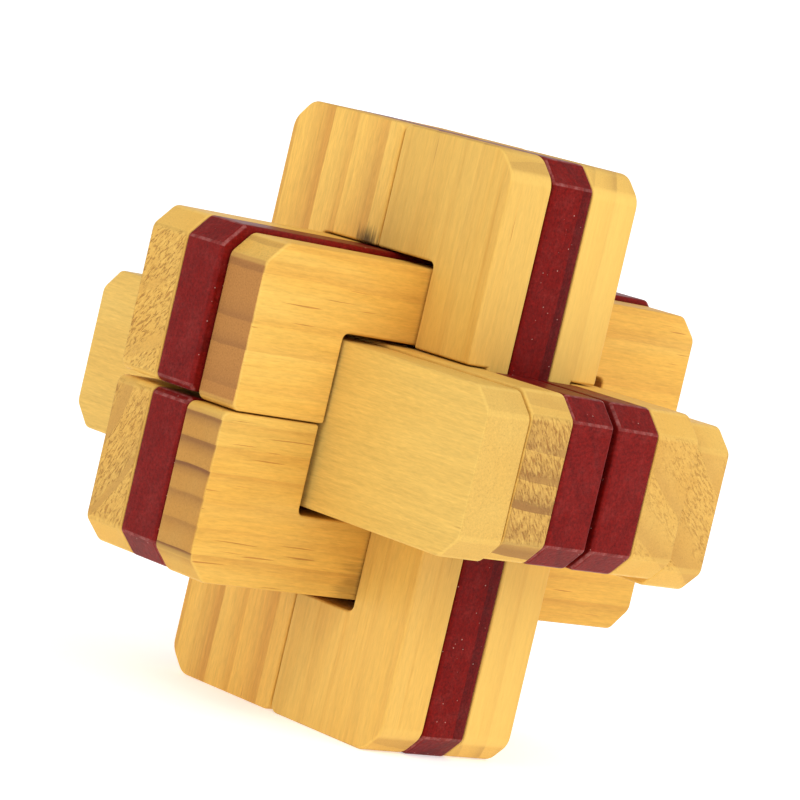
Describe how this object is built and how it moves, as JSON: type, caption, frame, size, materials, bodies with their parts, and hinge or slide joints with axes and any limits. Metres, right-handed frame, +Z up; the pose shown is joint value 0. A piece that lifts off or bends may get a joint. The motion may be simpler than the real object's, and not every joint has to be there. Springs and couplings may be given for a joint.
{
  "type": "burr puzzle",
  "caption": "Interlocking wooden burr puzzle of notched plain and dark red boards crossing at right angles, opened by sliding out a plain key board.",
  "frame": {"origin": "the middle of the standing posts, where the pairs cross; it is the centre of the puzzle's box", "axes": "+Z up along the posts; the beams lie along X and the rails along Y; the posts' single boards face -X and the beams' single boards face -Y"},
  "size_m": [0.076, 0.076, 0.076],
  "materials": {
    "plain_wood": "sanded plain softwood with a thin clear satin coat",
    "red_wood": "dark red stained and lacquered wood, satin"
  },
  "bodies": {
    "post_right": {"post_right_red": "red_wood", "post_right_back": "plain_wood"},
    "post_right_single": {"post_right_plain": "plain_wood"},
    "post_left": {"post_left_red": "red_wood", "post_left_back": "plain_wood"},
    "post_left_single": {"post_left_plain": "plain_wood"},
    "beam_upper": {"beam_upper_red": "red_wood", "beam_upper_back": "plain_wood"},
    "beam_upper_single": {"beam_upper_plain": "plain_wood"},
    "beam_lower": {"beam_lower_red": "red_wood", "beam_lower_back": "plain_wood"},
    "beam_lower_single": {"beam_lower_plain": "plain_wood"},
    "rail_left": {"rail_left_plain": "plain_wood", "rail_left_red_front": "red_wood", "rail_left_red_core": "red_wood", "rail_left_red_back": "red_wood"},
    "rail_right": {"rail_right_plain": "plain_wood", "rail_right_red_front": "red_wood", "rail_right_red_core": "red_wood", "rail_right_red_back": "red_wood"},
    "key_left": {"key_left": "plain_wood"},
    "key_right": {"key_right": "plain_wood"}
  },
  "joints": [
    {"name": "key_left_slide", "type": "slide", "parent": "post_right", "child": "key_left", "axis": [0, 1, 0], "range_m": [-0.06, 0.06]},
    {"name": "key_right_slide", "type": "slide", "parent": "post_right", "child": "key_right", "axis": [0, 1, 0], "range_m": [-0.06, 0.06]},
    {"name": "rail_left_play", "type": "slide", "parent": "post_right", "child": "rail_left", "axis": [0, 1, 0], "range_m": [-0.0006, 0.0006]},
    {"name": "rail_right_play", "type": "slide", "parent": "post_right", "child": "rail_right", "axis": [0, 1, 0], "range_m": [-0.0006, 0.0006]},
    {"name": "beam_upper_play", "type": "slide", "parent": "post_right", "child": "beam_upper", "axis": [1, 0, 0], "range_m": [-0.0008, 0.0008]},
    {"name": "beam_upper_single_play", "type": "slide", "parent": "post_right", "child": "beam_upper_single", "axis": [1, 0, 0], "range_m": [-0.0014, 0.0002]},
    {"name": "beam_lower_play", "type": "slide", "parent": "post_right", "child": "beam_lower", "axis": [1, 0, 0], "range_m": [-0.0008, 0.0008]},
    {"name": "beam_lower_single_play", "type": "slide", "parent": "post_right", "child": "beam_lower_single", "axis": [1, 0, 0], "range_m": [-0.0008, 0.0008]},
    {"name": "post_right_single_play", "type": "slide", "parent": "post_right", "child": "post_right_single", "axis": [0, 0, 1], "range_m": [0, 0.0005]},
    {"name": "post_left_play", "type": "slide", "parent": "post_right", "child": "post_left", "axis": [0, 0, 1], "range_m": [0, 0.0005]},
    {"name": "post_left_single_play", "type": "slide", "parent": "post_right", "child": "post_left_single", "axis": [0, 0, 1], "range_m": [0, 0.0005]}
  ]
}
